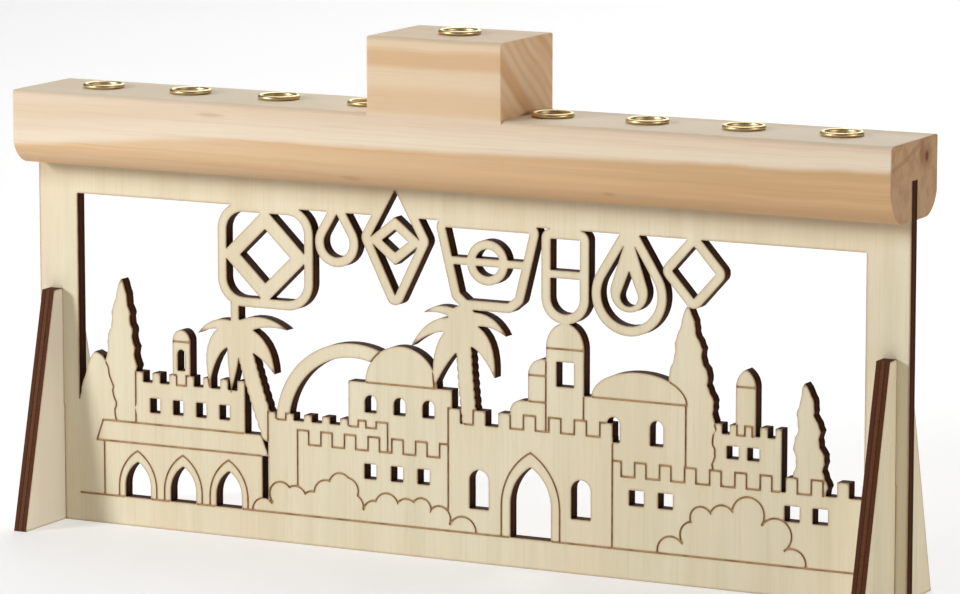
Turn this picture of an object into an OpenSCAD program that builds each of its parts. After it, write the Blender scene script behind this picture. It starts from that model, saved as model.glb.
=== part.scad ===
// A nine-light Hanukkah lamp in wood, brass and plywood.
// A solid wooden bar carries eight brass candle cups and a block with the ninth, the
// shamash cup. A laser-cut plywood panel with a skyline drawn on it slides up into a slot
// under the bar, and two tapered plywood legs cross the panel near its ends.
// X runs along the bar, the decorated face looks towards -Y, and Z = 0 is the table.

/* [Top bar] */
// Length of the bar and of the panel below it
bar_l = 300; // [280:1:330]
// Depth of the bar, front to back
bar_d = 35; // [33:0.5:40]
// Height of the bar
bar_h = 24; // [24:0.5:30]
// Radius of the two long lower edges
bar_under_r = 10; // [4:0.5:12]
// Radius of the two long upper edges
bar_edge_r = 1.5; // [0.6:0.1:2.5]
// Radius of the edges round the ends of the bar and the block
end_edge_r = 0.5; // [0.2:0.1:0.8]
// Height of the bar's underside above the table
under_z = 116; // [110:1:124]
// Depth of the slot that holds the panel
slot_d = 12; // [6:0.5:12]

/* [Shamash block] */
// Length of the block
block_l = 46; // [44:1:56]
// Height of the block
block_h = 23.5; // [16:0.5:32]
// Radius of the two hidden dowels
dowel_r = 3; // [2:0.5:4]
// Length of a dowel
dowel_l = 18; // [12:1:20]
// Distance between the dowels
dowel_gap = 28; // [24:1:30]

/* [Candle cups] */
// Distance from one cup to the next
cup_pitch = 31.7; // [30:0.1:33]
// Inner radius of a cup
cup_bore_r = 5.2; // [4.5:0.1:6]
// Wall thickness of a cup at its mouth
cup_wall = 0.7; // [0.6:0.1:1]
// How much a cup narrows outside towards its foot, so that it wedges into the wood
cup_taper = 0.2; // [0.1:0.05:0.3]
// Depth of a cup below the wood's surface
cup_depth = 10; // [8:0.5:10]
// Radius of the rolled lip's section
lip_r = 0.7; // [0.6:0.1:1]

/* [Plywood] */
// Thickness of the panel and the legs
ply_t = 4.4; // [3:0.1:5]
// Slack on each side of a plywood joint
ply_slack = 0.1; // [0.05:0.05:0.2]
// Width of the panel's two stiles
stile_w = 14; // [12:0.5:16]
// Width of the engraved lines
groove_w = 0.5; // [0.3:0.05:0.6]
// Depth of the engraved lines
groove_t = 0.35; // [0.2:0.05:0.6]
// Width of the strips that outline the frieze's pendants
pendant_w = 3; // [2.4:0.1:3.2]

/* [Legs] */
// Height of a leg
leg_h = 75; // [60:1:90]
// Depth of a leg at its top
leg_top_w = 15; // [12:0.5:20]
// Depth of a leg at its foot
leg_foot_w = 52.5; // [46:0.5:70]
// Distance from the panel's end to the middle of a leg
leg_inset = 6.1; // [5.5:0.1:8]

/* [Hidden] */
$fn = 64;
eps = 0.01;
bar_top = under_z + bar_h;
block_top = bar_top + block_h;
panel_h = under_z + slot_d;
slot_w = ply_t + 2 * ply_slack;
cup_r = cup_bore_r + cup_wall;
lap_z = leg_h / 2;

// The drawing is laid out for a window 272 wide under a bar 116 up, and is stretched to fit.
// Its coordinates are [across, up], from the middle of the panel's foot.
art_half_w = 136;
art_sx = (bar_l - 2 * stile_w) / (2 * art_half_w);
art_sz = under_z / 116;
ground = 9.3;
rail_z = 106;
wood_pale = "#e9dcbc";
wood_bar = "#dcb98c";
brass = "#d9b45a";

// ---------- Shapes of the drawing ----------

// The top edge of a battlement of n merlons, from x0 to the right
function teeth(x0, n, pitch, merlon, top, notch) =
    [for (i = [0:n - 1], p = [[0, top], [merlon, top], [merlon, notch], [pitch, notch]])
        [x0 + i * pitch + p[0], p[1]]];

// A point on the curve from a to c that leans towards b
function bend(a, b, c, t) = a * (1 - t) * (1 - t) + b * 2 * t * (1 - t) + c * t * t;

// The unit normal of that curve
function bend_normal(a, b, c, t) =
    let (d = (b - a) * (1 - t) + (c - b) * t) [-d[1], d[0]] / norm(d);

// How far a tree's edge is from its axis at depth d below the tip. It widens by a power of
// the depth until it is full, and ripples from a first crest on.
function foliage(d, spread, power, full, ripple, wave, crest) =
    let (turn = 360 * (d - crest) / wave)
        min(full, spread * pow(d, power))
            + ripple * min(1, d / 10) * (cos(turn) + 0.35 * cos(2.7 * turn));

// A band along the edge of its child, as wide as an engraved line
module outline() {
    difference() {
        offset(delta = groove_w / 2) children();
        offset(delta = -groove_w / 2) children();
    }
}

// A level line from x0 to x1
module level_line(x0, x1, z) {
    translate([x0, z - groove_w / 2]) square([x1 - x0, groove_w]);
}

// A block from x0 to x1 and from z0 to z1
module block(x0, x1, z0, z1) {
    translate([x0, z0]) square([x1 - x0, z1 - z0]);
}

// A wall under a battlement, which ends at x1
module wall(x0, x1, n, pitch, merlon, top, notch) {
    edge = teeth(x0, n, pitch, merlon, top, notch);
    intersection() {
        polygon(concat([[x0, ground - 1]], edge, [[x0 + n * pitch, ground - 1]]));
        block(x0, x1, ground - 1, top + 1);
    }
}

// A pointed arch around x, its sides struck from the opposite springing points
module pointed_arch(x, w, z0, apex) {
    spring = apex - w * sqrt(3) / 2;
    block(x - w / 2, x + w / 2, z0, spring + eps);
    intersection() {
        translate([x - w / 2, spring]) circle(r = w);
        translate([x + w / 2, spring]) circle(r = w);
        block(x - w / 2, x + w / 2, spring, apex + 1);
    }
}

// A window with a round head
module round_window(x0, x1, z0, z1) {
    r = (x1 - x0) / 2;
    block(x0, x1, z0, z1 - r);
    translate([x0 + r, z1 - r]) circle(r = r);
}

// The upper half of an ellipse, standing on z
module dome(x, z, a, b) {
    intersection() {
        translate([x, z]) scale([a, b]) circle(r = 1);
        block(x - a, x + a, z - eps, z + b);
    }
}

// A palm leaf: it leaves a, bends past b, and tapers from half width w to a point at c
module frond(a, b, c, w) {
    steps = 9;
    polygon(concat(
        [for (i = [0:steps]) let (t = i / steps)
            bend(a, b, c, t) + bend_normal(a, b, c, t) * w * (1 - t * t)],
        [for (i = [steps:-1:0]) let (t = i / steps)
            bend(a, b, c, t) - bend_normal(a, b, c, t) * w * (1 - t * t)]));
}

// A ringed trunk, from its top a to its foot c
module trunk(a, b, c, r) {
    rings = round(norm(c - a) / 2.6);
    for (i = [0:rings]) translate(bend(a, b, c, i / rings)) circle(r = r, $fn = 16);
}

// A slim tree with its tip at x, z. Its two edges are each given as
// [spread, power, full, ripple, wave, crest]
module tree(x, z, left, right) {
    h = z - ground + 1;
    steps = round(h / 1.2);
    function half(edge, d) = foliage(d, edge[0], edge[1], edge[2], edge[3], edge[4], edge[5]);
    polygon(concat(
        [for (i = [0:steps]) let (d = h * i / steps) [x + half(right, d), z - d]],
        [for (i = [steps:-1:1]) let (d = h * i / steps) [x - half(left, d), z - d]]));
}

// A low bush of round lumps, each given as [x, z, radius]
module bush(lumps) {
    last = len(lumps) - 1;
    intersection() {
        union() {
            polygon(concat([[lumps[0][0], 0]], [for (c = lumps) [c[0], c[1]]], [[lumps[last][0], 0]]));
            for (c = lumps) translate([c[0], c[1]]) circle(r = c[2], $fn = 28);
        }
        block(-art_half_w, art_half_w, ground - 1, under_z);
    }
}

// ---------- The drawing's layers, nearest first ----------
// Each has a filled shape, and may have holes cut through it and lines engraved on it.

LEFT_LUMPS = [[-68.5, 9.5, 4], [-62.3, 15.3, 4], [-57, 14.7, 3.8], [-51, 13.5, 3.8],
    [-46, 17, 4.3], [-41, 20, 4], [-38.6, 18.8, 4], [-36.6, 14, 3.8], [-29, 12.5, 3.8],
    [-24.5, 15, 4.1], [-17.5, 14, 4], [-12.3, 15.4, 3.3], [-6, 13, 3.8], [2, 9.5, 4.7]];
RIGHT_LUMPS = [[73, 10.2, 4.6], [80.2, 15.8, 4.2], [83, 21.2, 3.7], [90, 21.8, 4.2],
    [98.5, 24, 5.3], [107.6, 18.4, 5.2], [113, 10.3, 4.5]];

module left_bush(what) {
    if (what == "fill") bush(LEFT_LUMPS);
}

module right_bush(what) {
    if (what == "fill") bush(RIGHT_LUMPS);
}

module arcade_roof(what) {
    if (what == "fill") polygon([[-129.5, 27], [-66.7, 27], [-69.4, 33.6], [-127.2, 33.6]]);
}

module arcade(what) {
    for (x = [-114.5, -97.8, -81.1]) {
        if (what == "holes") pointed_arch(x, 9.4, ground, 21);
        if (what == "lines") outline() pointed_arch(x, 13.8, ground - 1, 24.5);
    }
    if (what == "fill") block(-126.8, -69, ground - 1, 27.5);
}

module gate_wall(what) {
    if (what == "fill") wall(-3, 53.2, 7, 8.66, 4.1, 47.8, 43.3);
    if (what == "lines") outline() pointed_arch(25.4, 20, ground - 1, 36.3);
    if (what == "holes") {
        pointed_arch(25.4, 14, ground, 31.8);
        round_window(4.3, 11, 17, 29.3);
        round_window(39.2, 45.9, 17, 29.3);
    }
}

module front_wall(what) {
    if (what == "fill") wall(-56.2, 0, 7, 8.37, 4, 36.4, 32);
    if (what == "holes") for (x = [-32.5, -23.1, -13.8]) block(x, x + 4.3, 23, 27.8);
}

module curtain_wall(what) {
    if (what == "fill") {
        wall(-66.8, -28, 6, 6.45, 2.7, 41.3, 39.2);
        block(-28.2, -24.2, ground, 41.3);
    }
}

module left_palm(what) {
    if (what == "fill") {
        frond([-79, 67], [-86, 69.5], [-92, 64.3], 1.8);
        frond([-79, 64.5], [-88, 64.5], [-88, 48.3], 3.6);
        frond([-79, 63.5], [-79.3, 56], [-80, 47.2], 2.3);
        frond([-77, 67], [-69, 71.5], [-59.8, 67.6], 2.2);
        frond([-77, 64.5], [-68.5, 63.5], [-64.4, 53.3], 3.6);
        translate([-77.7, 66]) circle(r = 3.8);
        block(-80, -77.2, 68, 75);
        trunk([-75.5, 61.5], [-72.5, 50], [-66.6, 34.5], 2.9);
    }
}

module centre_palm(what) {
    if (what == "fill") {
        frond([0, 77], [-6, 79.8], [-11.6, 77], 1.5);
        frond([0, 73.5], [-8.5, 75.3], [-15.9, 66.2], 2.4);
        frond([0.5, 71], [-6.2, 66], [-7.9, 54], 3.8);
        frond([3, 71.5], [10, 71.5], [13, 58.4], 3.6);
        frond([3, 75.5], [11, 78], [16.9, 71.6], 2.3);
        translate([2, 75]) circle(r = 5.2);
        trunk([2.3, 68], [2.8, 56], [4.7, 42], 2.7);
    }
}

module domed_hall(what) {
    if (what == "fill") {
        block(-38, -1.8, ground, 53.5);
        dome(-19.5, 53.5, 12.5, 12.2);
    }
    if (what == "lines") level_line(-32, -7, 53.5);
    if (what == "holes") for (x = [-32.3, -22.1, -12]) round_window(x, x + 4.2, 44, 49.5);
}

module great_arch(what) {
    if (what == "fill") translate([-36.5, 38]) {
        difference() {
            circle(r = 27.3, $fn = 96);
            circle(r = 22.8, $fn = 96);
            translate([-30, -60]) square(60);
        }
    }
}

module left_house(what) {
    if (what == "fill") wall(-115, -75.2, 7, 6.2, 2.7, 50.2, 47);
    if (what == "holes") for (i = [0:3]) block(-109.8 + 8.46 * i, -106 + 8.46 * i, 37.3, 42);
}

module left_turret(what) {
    if (what == "fill") {
        block(-101.3, -95, 46, 61);
        dome(-98.15, 61, 3.15, 3.8);
    }
    if (what == "lines") level_line(-101.3, -95, 61);
    if (what == "holes") round_window(-99.6, -96.8, 51.7, 58.5);
}

module round_tree(what) {
    if (what == "fill") tree(-130, 55.5, [1, 0.65, 6.5, 0.2, 7, 4], [2.6, 0.38, 7.5, 0.35, 5.8, 4.5]);
}

module left_cypress(what) {
    if (what == "fill") tree(-120, 79.5, [0.65, 0.68, 6.2, 0.35, 9, 1], [0.55, 0.67, 5.4, 0.35, 5.6, 5]);
}

module right_wall(what) {
    if (what == "fill") wall(52.4, 140, 11, 8.33, 3.8, 36.4, 31.8);
    if (what == "holes") for (x = [58.8, 68.5, 110.3, 119.5]) block(x, x + 5, 23, 27.8);
}

module centre_tower(what) {
    if (what == "fill") {
        block(30.6, 43.4, 42, 69.3);
        dome(37, 69.3, 6.4, 8);
    }
    if (what == "lines") level_line(30.6, 43.4, 69.3);
    if (what == "holes") block(34.1, 40.1, 57.6, 65.3);
}

module corner_block(what) {
    if (what == "fill") {
        block(18.4, 32, 42, 48.8);
        block(22, 32, 42, 52.3);
        translate([22, 48.7]) circle(r = 3.6);
    }
}

module corner_turret(what) {
    if (what == "fill") {
        block(24.5, 32, 50, 60.5);
        dome(29.5, 60.5, 5, 5.2);
    }
    if (what == "lines") level_line(24.5, 32, 60.5);
}

module domed_house(what) {
    if (what == "fill") {
        block(43.3, 77.7, 31, 55.4);
        dome(62, 55.4, 16, 8.7);
    }
    if (what == "lines") level_line(43.4, 77.7, 55.4);
    if (what == "holes") {
        round_window(51.3, 55.6, 42, 49.8);
        round_window(65.7, 70.2, 42, 49.8);
    }
}

module big_cypress(what) {
    if (what == "fill") tree(78.2, 86, [0.75, 0.67, 7.2, 0.35, 10, 1], [0.48, 0.84, 8.8, 0.5, 8, 4.5]);
}

module right_house(what) {
    if (what == "fill") {
        block(80, 87.3, 31, 47.8);
        wall(87.2, 109.2, 5, 5, 2.4, 50.8, 47.8);
    }
    if (what == "holes") for (x = [91.2, 98]) block(x, x + 4, 40.4, 44.3);
}

module minaret(what) {
    if (what == "fill") pointed_arch(97.4, 6.5, 46, 68);
    if (what == "lines") level_line(94.15, 100.65, 62.6);
}

module right_cypress(what) {
    if (what == "fill") tree(116.5, 65.3, [0.55, 0.57, 3, 0.5, 10, 9], [1, 0.58, 7.2, 0.6, 8.6, 5]);
}

LAYERS = 24;
module layer(i, what) {
    if (i == 0) left_bush(what);
    if (i == 1) right_bush(what);
    if (i == 2) arcade_roof(what);
    if (i == 3) arcade(what);
    if (i == 4) gate_wall(what);
    if (i == 5) front_wall(what);
    if (i == 6) curtain_wall(what);
    if (i == 7) left_palm(what);
    if (i == 8) centre_palm(what);
    if (i == 9) domed_hall(what);
    if (i == 10) great_arch(what);
    if (i == 11) left_house(what);
    if (i == 12) left_turret(what);
    if (i == 13) round_tree(what);
    if (i == 14) left_cypress(what);
    if (i == 15) right_wall(what);
    if (i == 16) centre_tower(what);
    if (i == 17) corner_block(what);
    if (i == 18) corner_turret(what);
    if (i == 19) domed_house(what);
    if (i == 20) big_cypress(what);
    if (i == 21) right_house(what);
    if (i == 22) minaret(what);
    if (i == 23) right_cypress(what);
}

// ---------- The frieze of hollow pendants under the rail ----------

// A drop that hangs from a point: its round end is at x, z
module drop(x, z, r, point_z) {
    translate([x, z]) circle(r = r);
    a = asin(r / (point_z - z));
    polygon([[x, point_z], [x + r * cos(a), z + r * sin(a)], [x - r * cos(a), z + r * sin(a)]]);
}

// A lozenge around x, z
module lozenge(x, z, half_w, half_h) {
    polygon([[x - half_w, z], [x, z + half_h], [x + half_w, z], [x, z - half_h]]);
}

// The open shape of pendant i, from the left
module pendant_hole(i) {
    if (i == 0) offset(r = 6) block(-75.5, -59.5, 83, 98);
    if (i == 1) drop(-42, 96.5, 4.6, 105.5);
    if (i == 2) polygon([[-21.5, 114.5], [-12.8, 99], [-21.5, 81.5], [-30.2, 99]]);
    if (i == 3) polygon([[-4, 104], [25, 104], [20, 84], [17.5, 82], [3.5, 82], [1, 84]]);
    if (i == 4) rotate(180) round_window(-42, -32, -103, -80);
    if (i == 5) drop(58.5, 87.5, 9.5, 105.5);
    if (i == 6) lozenge(80, 96, 7.2, 8);
}

// The solid shape left standing inside pendant i
module pendant_core(i) {
    if (i == 0) difference() {
        lozenge(-67.5, 90.5, 15.5, 15);
        lozenge(-67.5, 90.5, 9, 8.6);
    }
    if (i == 2) difference() {
        lozenge(-21.5, 98.5, 9.5, 7.5);
        lozenge(-21.5, 98.5, 4.6, 3.6);
    }
    if (i == 3) {
        block(-5, 26, 92.8, 95.2);
        difference() {
            translate([10.5, 94]) circle(r = 7);
            translate([10.5, 94]) circle(r = 4.2);
        }
    }
    if (i == 4) block(31, 43, 91, 93.4);
    if (i == 5) difference() {
        drop(58.5, 88.5, 6.2, 108);
        drop(58.5, 87, 3, 95);
    }
}

module pendant(i) {
    offset(r = pendant_w) pendant_hole(i);
}

module pendant_cut(i) {
    difference() {
        pendant_hole(i);
        pendant_core(i);
    }
}

// ---------- The panel ----------

// The drawing's frame: two stiles, the rail under the bar and the band on the table
module panel_frame() {
    for (s = [-1, 1]) block(s * (art_half_w + 20) - 20, s * (art_half_w + 20) + 20, 0, under_z);
    block(-art_half_w - 1, art_half_w + 1, rail_z, under_z);
    block(-art_half_w - 1, art_half_w + 1, 0, ground);
}

// What nearer layers leave of layer i
module visible(i, what) {
    difference() {
        layer(i, what);
        for (j = [0:1:i - 1]) layer(j, "fill");
    }
}

// Everything that stays after the laser has cut the openings
module cut_art() {
    difference() {
        union() {
            panel_frame();
            for (i = [0:LAYERS - 1]) layer(i, "fill");
            for (i = [0:6]) pendant(i);
        }
        for (i = [0:LAYERS - 1]) visible(i, "holes");
        for (i = [0:6]) pendant_cut(i);
    }
}

// The lines that part one layer from the next
module drawn_lines() {
    for (i = [0:LAYERS - 1]) difference() {
        union() {
            outline() layer(i, "fill");
            layer(i, "lines");
        }
        for (j = [0:1:i - 1]) layer(j, "fill");
    }
}

// The engraved lines, kept a hair away from every cut edge
module engraved_art() {
    intersection() {
        offset(delta = -groove_w * 0.6) cut_art();
        union() {
            difference() {
                intersection() {
                    drawn_lines();
                    block(-art_half_w, art_half_w, ground, rail_z);
                }
                for (i = [0:6]) pendant(i);
            }
            level_line(-art_half_w, art_half_w, ground);
        }
    }
}

// The panel's outline, with a tongue for the bar's slot and a slot for each leg
module panel_shape() {
    difference() {
        intersection() {
            union() {
                scale([art_sx, art_sz]) cut_art();
                block(-bar_l / 2, bar_l / 2, under_z - 1, panel_h);
            }
            block(-bar_l / 2, bar_l / 2, 0, panel_h);
        }
        for (s = [-1, 1]) translate([s * (bar_l / 2 - leg_inset), lap_z / 2 - 1])
            square([slot_w, lap_z + 2], center = true);
    }
}

// Stands a flat shape up in the plane of the panel, from y0 backwards
module upright(y0, t) {
    translate([0, y0 + t, 0]) rotate([90, 0, 0]) linear_extrude(height = t) children();
}

module skyline_panel() {
    color(wood_pale) difference() {
        upright(-ply_t / 2, ply_t) offset(delta = 0.001) panel_shape();
        upright(-ply_t / 2 - 1, groove_t + 1) offset(delta = 0.001) scale([art_sx, art_sz]) engraved_art();
    }
}

// ---------- Bar, block and dowels ----------

module rounded_rect(w, h, r) {
    square([w - 2 * r, h], center = true);
    square([w, h - 2 * r], center = true);
    for (x = [-1, 1], y = [-1, 1]) translate([x * (w / 2 - r), y * (h / 2 - r)]) circle(r = r);
}

// Eases the edges round both ends of its child, which is l long and stands from z0 to z0 + h
module eased(l, z0, h) {
    intersection() {
        children();
        translate([0, 0, z0 - 1]) linear_extrude(height = h + 2)
            rounded_rect(l, bar_d, end_edge_r);
        translate([0, bar_d, z0 + h / 2]) rotate([90, 0, 0]) linear_extrude(height = 2 * bar_d)
            rounded_rect(l, h, end_edge_r);
    }
}

module bar_section() {
    side = bar_d / 2;
    translate([-side, bar_under_r]) square([bar_d, bar_h - bar_under_r - bar_edge_r]);
    translate([-side + bar_edge_r, bar_under_r])
        square([bar_d - 2 * bar_edge_r, bar_h - bar_under_r]);
    translate([-side + bar_under_r, 0]) square([bar_d - 2 * bar_under_r, bar_h]);
    for (s = [-1, 1]) {
        translate([s * (side - bar_under_r), bar_under_r]) circle(r = bar_under_r);
        translate([s * (side - bar_edge_r), bar_h - bar_edge_r]) circle(r = bar_edge_r);
    }
}

module dowel_holes() {
    for (s = [-1, 1]) translate([s * dowel_gap / 2, 0, bar_top])
        cylinder(r = dowel_r, h = dowel_l + 0.4, center = true);
}

// Eight cups stand along the bar, four on each side of the block
function cup_x(i) = (i <= 4 ? i - 5 : i - 4) * cup_pitch;

// The tapered hole that a cup is pressed into
module cup_seat(x, z) {
    translate([x, 0, z - cup_depth]) cylinder(r1 = cup_r - cup_taper,
        r2 = cup_r + cup_taper / cup_depth, h = cup_depth + 1);
}

module top_bar() {
    color(wood_bar) difference() {
        eased(bar_l, under_z, bar_h) union() {
            translate([-bar_l / 2, 0, under_z]) rotate([90, 0, 90])
                linear_extrude(height = bar_l) bar_section();
            translate([-block_l / 2, -bar_d / 2, bar_top - 2 * bar_edge_r])
                cube([block_l, bar_d, 2 * bar_edge_r]);
        }
        translate([-bar_l / 2 - 1, -slot_w / 2, under_z - 1])
            cube([bar_l + 2, slot_w, slot_d + ply_slack + 1]);
        for (i = [1:8]) cup_seat(cup_x(i), bar_top);
        dowel_holes();
    }
}

module block_section() {
    side = bar_d / 2;
    translate([-side, 0]) square([bar_d, block_h - bar_edge_r]);
    translate([-side + bar_edge_r, 0]) square([bar_d - 2 * bar_edge_r, block_h]);
    for (s = [-1, 1]) translate([s * (side - bar_edge_r), block_h - bar_edge_r])
        circle(r = bar_edge_r);
}

module shamash_block() {
    color(wood_bar) difference() {
        eased(block_l, bar_top - bar_h, bar_h + block_h)
            translate([-block_l / 2, 0, bar_top]) rotate([90, 0, 90])
                linear_extrude(height = block_l) block_section();
        cup_seat(0, block_top);
        dowel_holes();
    }
}

module dowel(side) {
    color(wood_pale) translate([side * dowel_gap / 2, 0, bar_top])
        cylinder(r = dowel_r, h = dowel_l, center = true);
}

// ---------- Cups ----------

// A turned cup whose wood surface is at z: straight bore, flat floor and a rolled lip
module cup(x, z) {
    color(brass) translate([x, 0, z]) rotate_extrude() {
        polygon([[0, -cup_depth], [cup_r - cup_taper, -cup_depth], [cup_r, 0], [cup_r, lip_r],
            [cup_bore_r, lip_r], [cup_bore_r, cup_wall - cup_depth], [0, cup_wall - cup_depth]]);
        translate([cup_bore_r + lip_r, lip_r]) circle(r = lip_r, $fn = 32);
    }
}

// ---------- Legs ----------

// A leg tapers from its foot to its top, and a slot from the top takes the panel
module leg(side) {
    color(wood_pale) translate([side * (bar_l / 2 - leg_inset) - ply_t / 2, 0, 0])
        rotate([90, 0, 90]) linear_extrude(height = ply_t) difference() {
            polygon([[-leg_foot_w / 2, 0], [leg_foot_w / 2, 0],
                [leg_top_w / 2, leg_h], [-leg_top_w / 2, leg_h]]);
            translate([-slot_w / 2, lap_z - ply_slack]) square([slot_w, leg_h]);
        }
}

top_bar();
shamash_block();
dowel(-1);  // dowel_left
dowel(1);  // dowel_right
skyline_panel();
leg(-1);  // leg_left
leg(1);  // leg_right
for (i = [1:8]) cup(cup_x(i), bar_top);
cup(0, block_top);  // shamash_cup
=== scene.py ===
import math

import bpy
from mathutils import Matrix, Vector


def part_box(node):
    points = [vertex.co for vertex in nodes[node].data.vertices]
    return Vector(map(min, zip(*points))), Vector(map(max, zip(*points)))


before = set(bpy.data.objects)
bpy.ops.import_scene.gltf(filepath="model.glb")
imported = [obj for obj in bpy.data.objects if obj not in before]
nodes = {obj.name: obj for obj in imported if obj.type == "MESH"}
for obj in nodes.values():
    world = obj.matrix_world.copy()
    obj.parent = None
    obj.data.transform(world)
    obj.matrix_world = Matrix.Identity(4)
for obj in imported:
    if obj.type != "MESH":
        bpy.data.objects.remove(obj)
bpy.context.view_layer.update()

# Looks for a nine-light wooden Hanukkah lamp: sanded pine, laser-cut plywood and brass.
# Inside a material all lengths are millimetres, in the frame of the CAD model.


# ---------- Small helpers ----------

def tone(red, green, blue):
    """A display colour, 0 to 255 a channel, as linear RGBA."""
    def linear(v):
        v = v / 255
        return v / 12.92 if v <= 0.04045 else ((v + 0.055) / 1.055) ** 2.4
    return (linear(red), linear(green), linear(blue), 1.0)


def box_mm(node):
    """A node's lowest and highest corners in millimetres."""
    low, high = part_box(node)
    return [v * 1000 for v in low], [v * 1000 for v in high]


class Graph:
    """One material's node tree, built with short calls."""

    def __init__(self, name):
        self.material = bpy.data.materials.new(name)
        self.material.use_nodes = True
        self.tree = self.material.node_tree
        self.tree.nodes.clear()
        coords = self.node("ShaderNodeTexCoord")
        place = self.node("ShaderNodeVectorMath", {0: coords.outputs["Object"], "Scale": 1000.0},
                          operation="SCALE")
        split = self.node("ShaderNodeSeparateXYZ", {0: place.outputs[0]})
        self.x, self.y, self.z = split.outputs
        facing = self.node("ShaderNodeSeparateXYZ", {0: coords.outputs["Normal"]})
        self.nx, self.ny, self.nz = facing.outputs

    def node(self, kind, values=None, **settings):
        made = self.tree.nodes.new(kind)
        for key, value in settings.items():
            setattr(made, key, value)
        for key, value in (values or {}).items():
            if isinstance(value, bpy.types.NodeSocket):
                self.tree.links.new(value, made.inputs[key])
            else:
                made.inputs[key].default_value = value
        return made

    def calc(self, operation, a, b=0.0, clamp=False):
        return self.node("ShaderNodeMath", {0: a, 1: b}, operation=operation, use_clamp=clamp).outputs[0]

    def add(self, a, b):
        return self.calc("ADD", a, b)

    def times(self, a, b):
        return self.calc("MULTIPLY", a, b)

    def less(self, a, b):
        return self.calc("SUBTRACT", a, b)

    def size(self, a):
        return self.calc("ABSOLUTE", a)

    def rise(self, value, low, high):
        """0 below low and 1 above high, with a smooth rise between them."""
        made = self.node("ShaderNodeMapRange", {0: value, 1: low, 2: high, 3: 0.0, 4: 1.0},
                         interpolation_type="SMOOTHSTEP", clamp=True)
        return made.outputs[0]

    def fall(self, value, low, high):
        """1 below low and 0 above high."""
        return self.less(1.0, self.rise(value, low, high))

    def span(self, value, low, high):
        """A value of 0 to 1 stretched to run from low to high."""
        return self.node("ShaderNodeMapRange", {0: value, 1: 0.0, 2: 1.0, 3: low, 4: high}).outputs[0]

    def mix(self, share, a, b, blend="MIX"):
        made = self.node("ShaderNodeMix", {0: share, 6: a, 7: b}, data_type="RGBA", blend_type=blend)
        return made.outputs[2]

    def distance(self, a, b):
        """The length of the flat vector (a, b)."""
        return self.calc("SQRT", self.add(self.times(a, a), self.times(b, b)))

    def noise(self, x, y, z, detail=2.0, roughness=0.5, distortion=0.0):
        """Soft noise of 0 to 1. x, y and z are already scaled: one unit is one blob."""
        where = self.node("ShaderNodeCombineXYZ", {0: x, 1: y, 2: z})
        made = self.node("ShaderNodeTexNoise", {"Vector": where.outputs[0], "Scale": 1.0, "Detail": detail,
                                                "Roughness": roughness, "Distortion": distortion})
        return made.outputs[0]

    def finish(self, color, roughness, height, depth_mm, **sockets):
        """Joins the surface. height is 0 to 1 and depth_mm is how deep that is."""
        bump = self.node("ShaderNodeBump", {"Height": height, "Distance": depth_mm / 1000, "Strength": 1.0})
        shader = self.node("ShaderNodeBsdfPrincipled", {"Base Color": color, "Roughness": roughness,
                                                        "Normal": bump.outputs[0]})
        for key, value in sockets.items():
            shader.inputs[key.replace("_", " ")].default_value = value
        out = self.node("ShaderNodeOutputMaterial")
        self.tree.links.new(shader.outputs[0], out.inputs[0])
        return self.material


def dress(material, *names):
    """Gives CAD nodes a material."""
    for name in names:
        slots = nodes[name].material_slots
        if not slots:
            nodes[name].data.materials.append(material)
        for slot in nodes[name].material_slots:
            slot.material = material


# ---------- Plywood ----------

def veneer(g, across, along):
    """The sanded face of a plywood sheet, whose fibres run along. Gives its colour and its relief."""
    sheet = g.noise(g.times(across, 0.035), 0.0, g.times(along, 0.012), 2.0)
    broad = g.noise(g.times(across, 0.16), 1.7, g.times(along, 0.010), 2.0)
    fibre = g.noise(g.times(across, 1.1), 4.1, g.times(along, 0.035), 3.0)
    pore = g.noise(g.times(across, 4.2), 9.3, g.times(along, 0.16), 2.0)
    color = g.mix(g.rise(sheet, 0.35, 0.65), tone(236, 226, 199), tone(233, 219, 190))
    color = g.mix(g.times(g.rise(broad, 0.4, 0.72), 0.55), color, tone(222, 211, 179))
    color = g.mix(g.times(g.rise(fibre, 0.45, 0.8), 0.36), color, tone(214, 199, 163))
    color = g.mix(g.times(g.rise(pore, 0.62, 0.8), 0.24), color, tone(194, 174, 134))
    relief = g.add(g.times(fibre, 0.6), g.times(pore, 0.4))
    return color, relief


def burnt_edge(g, through, half_t, char, core):
    """A laser-cut edge. through is the distance from the sheet's middle plane, and half_t half
    its thickness."""
    glue = half_t / 3
    runs = g.noise(g.times(g.x, 2.4), g.times(g.y, 2.4), g.times(g.z, 2.4), 2.0)
    across = g.noise(g.times(g.x, 0.5), g.times(g.y, 0.5), g.times(g.z, 0.35), 3.0, 0.6)
    middle = g.fall(g.size(through), glue - 0.12, glue + 0.12)
    line = g.fall(g.size(g.less(g.size(through), glue)), 0.05, 0.3)
    color = g.mix(g.times(middle, g.span(across, 0.35, 0.95)), char, core)
    color = g.mix(g.times(line, 0.6), color, tone(48, 23, 12))
    color = g.mix(g.times(g.rise(runs, 0.45, 0.75), 0.4), color, tone(34, 15, 7))
    relief = g.add(g.times(runs, 0.7), g.times(middle, 0.2))
    return color, relief


def near_edge(g, reach_mm):
    """1 at a cut edge or an engraved line, falling to 0 about reach_mm away from it."""
    made = g.node("ShaderNodeAmbientOcclusion", {"Distance": reach_mm / 1000},
                  samples=8, inside=True, only_local=True)
    return g.less(1.0, made.outputs["AO"])


def sheet_face(g, facing):
    """1 on a sheet's two faces and 0 on its edges. facing is the normal along its thickness."""
    return g.rise(g.size(facing), 0.45, 0.55)


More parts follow.
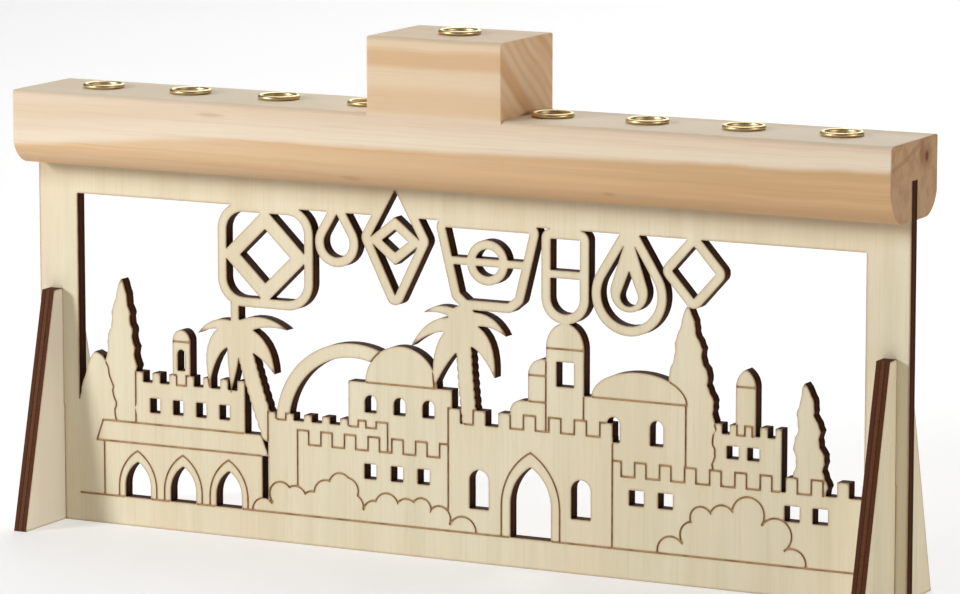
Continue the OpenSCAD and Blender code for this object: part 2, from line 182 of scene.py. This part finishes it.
def plywood(g, facing, through, half_t, across, char, core, painted_pale_share):
    """Cut plywood: facing is along the sheet's thickness, and through the distance from its middle plane.
    Its last argument is the share by which its face is painted paler and greyer than fresh veneer: painted
    light, a lighter copy of the same plywood."""
    on_face = sheet_face(g, facing)
    sheet_color, sheet_relief = veneer(g, across, g.z)
    # Painted light: the face is painted paler and greyer by the given share
    sheet_color = g.mix(painted_pale_share, sheet_color, tone(238, 232, 221))
    # Smoke tans the face beside a cut, and the last few tenths of a millimetre are scorched
    nearness = near_edge(g, 1.1)
    sheet_color = g.mix(g.times(nearness, 0.7), sheet_color, tone(196, 158, 114))
    sheet_color = g.mix(g.times(g.rise(nearness, 0.33, 0.48), 0.65), sheet_color, tone(122, 80, 48))
    edge_color, edge_relief = burnt_edge(g, through, half_t, char, core)
    color = g.mix(on_face, edge_color, sheet_color)
    relief = g.mix(on_face, edge_relief, sheet_relief)
    return color, g.span(sheet_relief, 0.5, 0.72), relief


def panel_material():
    """The panel, whose engraved lines are toasted tan, and darker where the beam lingered."""
    g = Graph("panel_plywood")
    low, high = box_mm("skyline_panel")
    through = g.less(g.y, (low[1] + high[1]) / 2)
    half_t = (high[1] - low[1]) / 2
    color, rough, relief = plywood(g, g.ny, through, half_t, g.x, tone(62, 32, 17), tone(80, 45, 25),
                                   painted_pale_share=0.0)
    front = -half_t
    sunk = g.times(g.rise(through, 0.06 + front, 0.14 + front), g.fall(through, 0.36 + front, 0.41 + front))
    linger = g.noise(g.times(g.x, 0.21), 0.0, g.times(g.z, 0.21), 2.0)
    toast = g.mix(g.rise(linger, 0.42, 0.72), tone(203, 169, 123), tone(164, 124, 82))
    color = g.mix(sunk, color, toast)
    # Painted shadow of the bar: the strip just under the bar, and the part inside its slot, is painted darker
    painted_bar_shadow = g.times(g.rise(g.z, high[2] - 22.0, high[2] - 13.0), sheet_face(g, g.ny))
    color = g.mix(g.times(painted_bar_shadow, 0.45), color, tone(150, 124, 92))
    return g.finish(color, rough, relief, 0.05, Specular_IOR_Level=0.03)


def leg_material():
    """Both legs. The left one is painted paler and greyer, as painted light: a lighter copy of the same
    plywood.
    """
    g = Graph("leg_plywood")
    low, high = box_mm("leg_right")
    through = g.less(g.size(g.x), (low[0] + high[0]) / 2)
    # Painted light: the left leg's face is painted paler and greyer than the right's
    color, rough, relief = plywood(g, g.nx, through, (high[0] - low[0]) / 2, g.y, tone(92, 54, 35),
                                   tone(112, 72, 48), painted_pale_share=g.times(g.fall(g.x, -1.0, 1.0), 0.65))
    return g.finish(color, rough, relief, 0.06, Specular_IOR_Level=0.05)


# ---------- Pine ----------

def pine_fibres(g, level):
    """Growth lines and fibres that run along x. Gives darkening shares for the lines and the
    fibres, and a relief."""
    lines = g.noise(g.times(g.x, 0.004), 2.0, g.times(level, 0.75), 3.0, 0.6)
    fibres = g.noise(g.times(g.x, 0.05), g.times(g.y, 2.6), g.times(g.z, 2.6), 3.0, 0.6)
    pores = g.noise(g.times(g.x, 0.35), g.times(g.y, 7.0), g.times(g.z, 7.0), 2.0)
    relief = g.add(g.times(fibres, 0.6), g.times(pores, 0.4))
    return g.rise(lines, 0.48, 0.72), g.rise(fibres, 0.5, 0.8), relief


def end_face(g):
    """1 on the two ends, where the grain shows in cross-section."""
    return g.rise(g.size(g.nx), 0.6, 0.9)


def top_face(g):
    """1 on the flat top."""
    return g.rise(g.nz, 0.7, 0.95)


def end_specks(g):
    """The open pores of end grain."""
    return g.noise(0.0, g.times(g.y, 5.0), g.times(g.z, 5.0), 2.0)


def bar_material():
    """The bar: pale sapwood above, tan heartwood below a wavy border, and brown end grain with a knot."""
    g = Graph("bar_pine")
    low, high = box_mm("top_bar")
    along = g.rise(g.x, low[0], high[0])
    drift = g.less(g.noise(g.times(g.x, 0.011), g.times(g.y, 0.03), 0.0, 2.0), 0.5)
    ripple = g.less(g.noise(g.times(g.x, 0.05), g.times(g.y, 0.05), 7.0, 2.0), 0.5)
    tilt = g.times(g.less(g.y, low[1]), 0.28)
    level = g.less(g.add(g.z, g.add(g.times(drift, 3.0), g.times(ripple, 1.4))), tilt)
    dip = g.times(g.fall(g.x, low[0] - 20, low[0] + 85), 5.5)
    border = g.less(g.add(low[2] + 14.0, g.times(g.x, 0.018)), dip)
    above = g.less(level, border)
    heart = g.fall(above, -1.3, 1.3)
    lines, fibres, relief = pine_fibres(g, level)
    # Sapwood: creamiest just above the border, and pinker towards the top
    pale = g.mix(g.rise(above, 2.0, 9.0), tone(240, 223, 198), tone(230, 207, 179))
    pale_bands = g.noise(g.times(g.x, 0.006), 5.0, g.times(level, 0.22), 2.0)
    pale = g.mix(g.times(g.rise(pale_bands, 0.42, 0.64), 0.6), pale, tone(236, 217, 192))
    pale = g.mix(g.times(lines, 0.25), pale, tone(220, 184, 150))
    # Painted light: the heartwood is painted paler at the left end and deeper towards the right, as the light
    # falls off along the bar
    warm = g.mix(along, tone(230, 198, 158), tone(206, 168, 123))
    warm_bands = g.noise(g.times(g.x, 0.008), 8.0, g.times(level, 0.3), 2.0)
    warm = g.mix(g.times(g.rise(warm_bands, 0.42, 0.66), 0.6), warm, tone(225, 183, 138))
    warm = g.mix(g.times(lines, 0.3), warm, tone(200, 154, 110))
    color = g.mix(heart, pale, warm)
    color = g.mix(g.times(fibres, 0.16), color, tone(178, 140, 104))
    # Painted shade on the underside, which is darker where little light reaches it from below, and the top
    # tinted greyer
    color = g.mix(g.times(g.rise(g.times(g.nz, -1.0), 0.0, 0.9), 0.4), color, tone(162, 126, 92))
    color = g.mix(g.times(top_face(g), 0.6), color, tone(222, 208, 181))
    # Small brown marks along the bar: the middle of each, its length and its height
    marks = ((-30.0, 119.0, 3.2, 0.7), (58.0, 120.0, 2.0, 0.6), (-78.0, 136.0, 4.5, 0.6))
    for across, up, long, tall in marks:
        reach = g.distance(g.times(g.less(g.x, across), 1 / long), g.times(g.less(g.z, up), 1 / tall))
        color = g.mix(g.times(g.fall(reach, 0.3, 1.6), 0.3), color, tone(160, 112, 70))
    # End grain, whose rings are centred outside the bar
    pith_y, pith_z = 34.0, 96.0
    streak_y, streak_z = 5.5, 135.5
    knot_y, knot_z = 9.0, 134.3
    ring_r = g.distance(g.less(g.y, pith_y), g.less(g.z, pith_z))
    warped = g.add(ring_r, g.times(g.noise(g.times(g.y, 0.12), g.times(g.z, 0.12), 3.0, 2.0), 3.0))
    rings = g.rise(g.calc("SINE", g.times(warped, 2.6)), -0.2, 0.9)
    cloud = g.noise(0.0, g.times(g.y, 0.22), g.times(g.z, 0.22), 2.0)
    end = g.mix(heart, tone(195, 157, 118), tone(191, 155, 118))
    end = g.mix(g.times(g.rise(cloud, 0.42, 0.66), 0.6), end, tone(172, 132, 92))
    end = g.mix(g.times(g.fall(g.size(above), 0.2, 1.4), 0.4), end, tone(148, 108, 72))
    end = g.mix(g.times(rings, 0.1), end, tone(158, 120, 86))
    end = g.mix(g.times(g.rise(end_specks(g), 0.5, 0.75), 0.25), end, tone(134, 98, 66))
    streak = g.distance(g.times(g.less(g.y, streak_y), 0.55), g.times(g.less(g.z, streak_z), 0.28))
    end = g.mix(g.times(g.fall(streak, 0.4, 1.6), 0.75), end, tone(150, 92, 62))
    knot = g.distance(g.less(g.y, knot_y), g.times(g.less(g.z, knot_z), 0.85))
    end = g.mix(g.times(g.fall(knot, 0.9, 5.0), 0.75), end, tone(150, 106, 62))
    end = g.mix(g.times(g.fall(knot, 0.7, 1.8), 0.85), end, tone(92, 58, 24))
    color = g.mix(end_face(g), color, end)
    return g.finish(color, g.span(relief, 0.5, 0.7), relief, 0.06, Specular_IOR_Level=0.2)


def block_material():
    """The block: soft bands along its front that slant across its end grain."""
    g = Graph("block_pine")
    low, high = box_mm("shamash_block")
    drift = g.less(g.noise(g.times(g.x, 0.03), g.times(g.y, 0.04), g.times(g.z, 0.04), 2.0), 0.5)
    slant = g.times(g.less(g.y, low[1]), 0.85)
    level = g.add(g.less(g.add(g.z, slant), low[2]), g.times(drift, 3.0))
    upper = g.fall(g.size(g.less(level, 17.2)), 1.4, 4.2)
    lower = g.times(g.fall(g.size(g.less(level, 4.5)), 2.0, 5.5), 0.55)
    rest = g.times(g.rise(g.noise(2.0, 0.0, g.times(level, 0.12), 2.0), 0.4, 0.65), g.rise(level, 24.0, 27.0))
    band = g.calc("MAXIMUM", g.calc("MAXIMUM", upper, lower), rest)
    lines, fibres, relief = pine_fibres(g, level)
    color = g.mix(band, tone(233, 208, 175), tone(221, 184, 143))
    color = g.mix(g.times(lines, 0.25), color, tone(216, 176, 136))
    color = g.mix(g.times(fibres, 0.15), color, tone(186, 146, 108))
    color = g.mix(g.times(top_face(g), 0.7), color, tone(219, 197, 167))
    stripe = g.rise(g.calc("SINE", g.add(g.times(level, 1.3), g.times(drift, 6.0))), -0.6, 1.0)
    end = g.mix(band, tone(236, 202, 164), tone(220, 176, 130))
    end = g.mix(g.times(stripe, 0.22), end, tone(194, 154, 118))
    end = g.mix(g.times(g.rise(end_specks(g), 0.5, 0.75), 0.25), end, tone(164, 124, 90))
    color = g.mix(end_face(g), color, end)
    return g.finish(color, g.span(relief, 0.5, 0.7), relief, 0.06, Specular_IOR_Level=0.2)


def dowel_material():
    """Plain beech with short flecks."""
    g = Graph("dowel_beech")
    fleck = g.noise(g.times(g.x, 2.5), g.times(g.y, 2.5), g.times(g.z, 0.4), 3.0)
    color = g.mix(g.rise(fleck, 0.35, 0.75), tone(224, 192, 150), tone(190, 150, 108))
    return g.finish(color, g.span(fleck, 0.5, 0.7), fleck, 0.05, Specular_IOR_Level=0.3)


# ---------- Brass ----------

def brass_material():
    """Satin, lathe-turned brass. The cups stand at whole multiples of one pitch, so one tree serves all."""
    g = Graph("cup_brass")
    low, high = box_mm("candle_cup_8")
    pitch = (low[0] + high[0]) / 8
    turn = g.calc("PINGPONG", g.size(g.x), pitch / 2)
    radius = g.distance(turn, g.y)
    rings = g.noise(g.times(radius, 9.0), 0.0, g.times(g.z, 9.0), 2.0)
    cloud = g.noise(g.times(g.x, 0.35), g.times(g.y, 0.35), g.times(g.z, 0.35), 3.0)
    inside = g.fall(radius, 5.15, 5.6)
    color = g.mix(g.rise(cloud, 0.4, 0.7), (0.79, 0.64, 0.37, 1.0), (0.69, 0.53, 0.27, 1.0))
    # Painted highlight: the inner wall is painted brighter, standing in for the bright reflections inside the
    # cup
    color = g.mix(g.times(inside, 0.7), color, (0.90, 0.78, 0.54, 1.0))
    rough = g.add(g.span(cloud, 0.34, 0.42), g.times(rings, 0.08))
    return g.finish(color, rough, rings, 0.012, Metallic=1.0)


# ---------- Dressing the CAD nodes ----------

cups = [name for name in nodes if "cup" in name]
dress(bar_material(), "top_bar")
dress(block_material(), "shamash_block")
dress(dowel_material(), "dowel_left", "dowel_right")
dress(panel_material(), "skyline_panel")
dress(leg_material(), "leg_left", "leg_right")
dress(brass_material(), *cups)


# ---------- Floor, light and camera ----------

def floor():
    """A plain pale floor that glows a little, so that it stays near white."""
    g = Graph("floor_paint")
    mottle = g.noise(g.times(g.x, 0.004), g.times(g.y, 0.004), 0.0, 2.0)
    color = g.mix(mottle, (0.59, 0.59, 0.59, 1.0), (0.62, 0.62, 0.62, 1.0))
    material = g.finish(color, 0.75, mottle, 0.01, Specular_IOR_Level=0.2,
                        Emission_Color=(1.0, 1.0, 1.0, 1.0), Emission_Strength=0.48)
    half = 12.0
    corners = [(-half, -half, 0), (half, -half, 0), (half, half, 0), (-half, half, 0)]
    mesh = bpy.data.meshes.new("floor")
    mesh.from_pydata(corners, [], [(0, 1, 2, 3)])
    mesh.materials.append(material)
    made = bpy.data.objects.new("floor", mesh)
    bpy.context.scene.collection.objects.link(made)


def softbox(name, place, aim, width, height, power, color):
    """A rectangular light at place that faces aim, in metres and watts."""
    data = bpy.data.lights.new(name, "AREA")
    data.shape = "RECTANGLE"
    data.size, data.size_y = width, height
    data.energy = power
    data.color = color
    made = bpy.data.objects.new(name, data)
    made.location = place
    made.rotation_mode = "QUATERNION"
    made.rotation_quaternion = (Vector(aim) - Vector(place)).to_track_quat("-Z", "Y")
    bpy.context.scene.collection.objects.link(made)


def photo_camera():
    """A long lens about 1.6 metres away, to the right of the face and above the bar."""
    place = Vector((0.7365, -1.4118, 0.3414))
    yaw, pitch = math.radians(27.33), math.radians(-9.24)
    ahead = Vector((-math.sin(yaw) * math.cos(pitch), math.cos(yaw) * math.cos(pitch), math.sin(pitch)))
    right = Vector((math.cos(yaw), math.sin(yaw), 0))
    up = right.cross(ahead)
    data = bpy.data.cameras.new("photo_camera")
    data.sensor_width = 36
    data.lens = 197.2
    data.clip_start, data.clip_end = 0.05, 60
    made = bpy.data.objects.new("photo_camera", data)
    turn = Matrix((right, up, -ahead)).transposed().to_4x4()
    made.matrix_world = Matrix.Translation(place) @ turn
    bpy.context.scene.collection.objects.link(made)
    bpy.context.scene.camera = made


white = (1.0, 1.0, 1.0)
cream = (1.0, 0.94, 0.85)
middle = (0.0, 0.0, 0.09)
floor()
softbox("key", (-1.00, -1.08, 0.58), middle, 0.36, 0.36, 15.0, white)
softbox("fill", (3.3, -0.58, 0.62), middle, 1.5, 1.2, 34.0, cream)
softbox("top", (-0.2, 0.7, 1.4), middle, 1.2, 1.2, 12.0, white)
softbox("back", (-0.5, 2.1, 1.1), middle, 1.8, 1.2, 17.0, white)
world = bpy.data.worlds.new("studio")
world.use_nodes = True
backdrop = world.node_tree.nodes["Background"]
backdrop.inputs["Color"].default_value = (1.0, 1.0, 1.0, 1.0)
backdrop.inputs["Strength"].default_value = 0.03
bpy.context.scene.world = world
bpy.context.scene.view_settings.view_transform = "Standard"
photo_camera()
